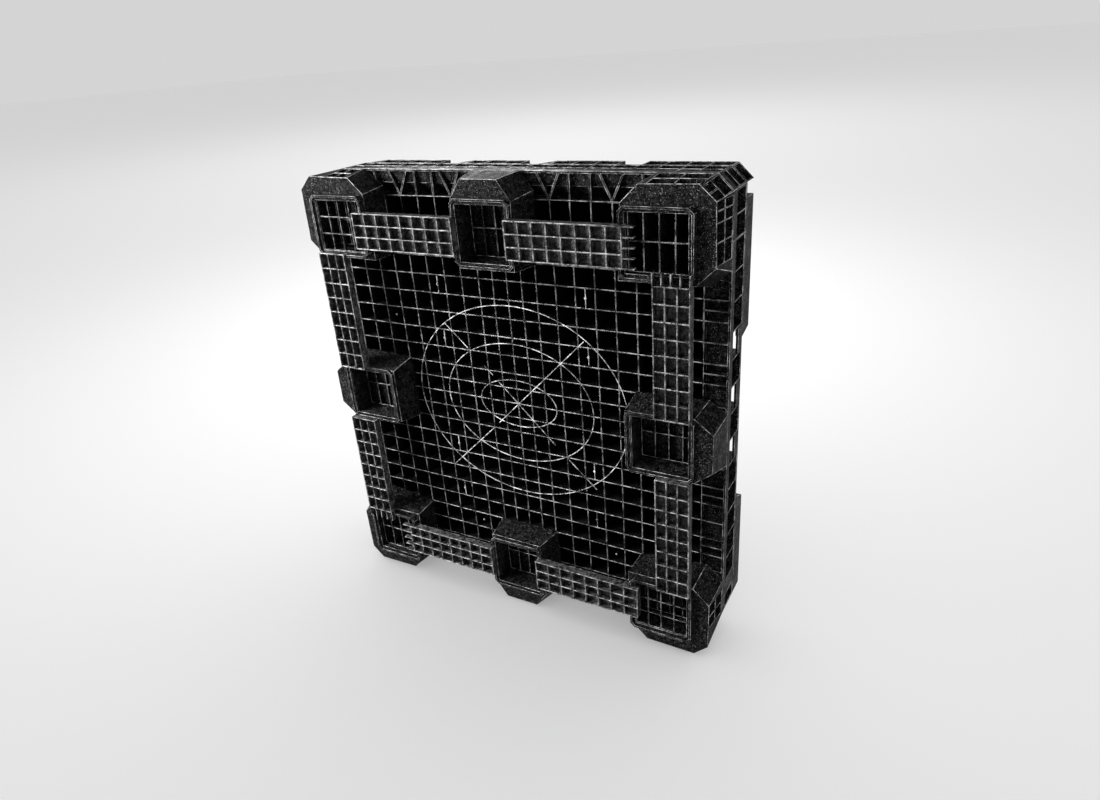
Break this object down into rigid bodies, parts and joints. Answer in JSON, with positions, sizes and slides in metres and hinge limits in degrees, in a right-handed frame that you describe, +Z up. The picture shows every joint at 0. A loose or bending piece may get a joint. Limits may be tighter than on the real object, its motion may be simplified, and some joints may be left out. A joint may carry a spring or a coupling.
{
  "type": "plastic stacking pallet",
  "caption": "Black recycled plastic pallet with a ribbed deck, hollow tapered legs, ribbed runner boards and raised edge lips",
  "frame": {"origin": "on the floor, under the middle of the deck", "axes": "X along the longer side of the deck, Y along the shorter side, Z up; half a turn about Z maps the pallet onto itself"},
  "size_m": [1.2192, 1.143, 0.25],
  "materials": {
    "deck_plastic": "speckled recycled black plastic, satin",
    "runner_plastic": "recycled black plastic, slightly glossier on the rib edges"
  },
  "bodies": {
    "root": {"deck_lattice": "deck_plastic", "foot_east": "runner_plastic", "foot_north": "runner_plastic", "foot_northeast": "runner_plastic", "foot_northwest": "runner_plastic", "foot_south": "runner_plastic", "foot_southeast": "runner_plastic", "foot_southwest": "runner_plastic", "foot_west": "runner_plastic", "leg_east": "deck_plastic", "leg_north": "deck_plastic", "leg_northeast": "deck_plastic", "leg_northwest": "deck_plastic", "leg_south": "deck_plastic", "leg_southeast": "deck_plastic", "leg_southwest": "deck_plastic", "leg_west": "deck_plastic", "lip_corner_northeast": "deck_plastic", "lip_corner_southwest": "deck_plastic", "lip_east_a": "deck_plastic", "lip_east_b": "deck_plastic", "lip_east_c": "deck_plastic", "lip_north_e": "deck_plastic", "lip_north_w": "deck_plastic", "lip_south_e": "deck_plastic", "lip_south_w": "deck_plastic", "lip_west_a": "deck_plastic", "lip_west_b": "deck_plastic", "lip_west_c": "deck_plastic", "post_northeast": "deck_plastic", "post_northwest": "deck_plastic", "post_southeast": "deck_plastic", "post_southwest": "deck_plastic", "runner_east_n": "runner_plastic", "runner_east_s": "runner_plastic", "runner_north_e": "runner_plastic", "runner_north_w": "runner_plastic", "runner_south_e": "runner_plastic", "runner_south_w": "runner_plastic", "runner_west_n": "runner_plastic", "runner_west_s": "runner_plastic", "wall_east": "deck_plastic", "wall_north": "deck_plastic", "wall_south": "deck_plastic", "wall_west": "deck_plastic"}
  },
  "joints": []
}
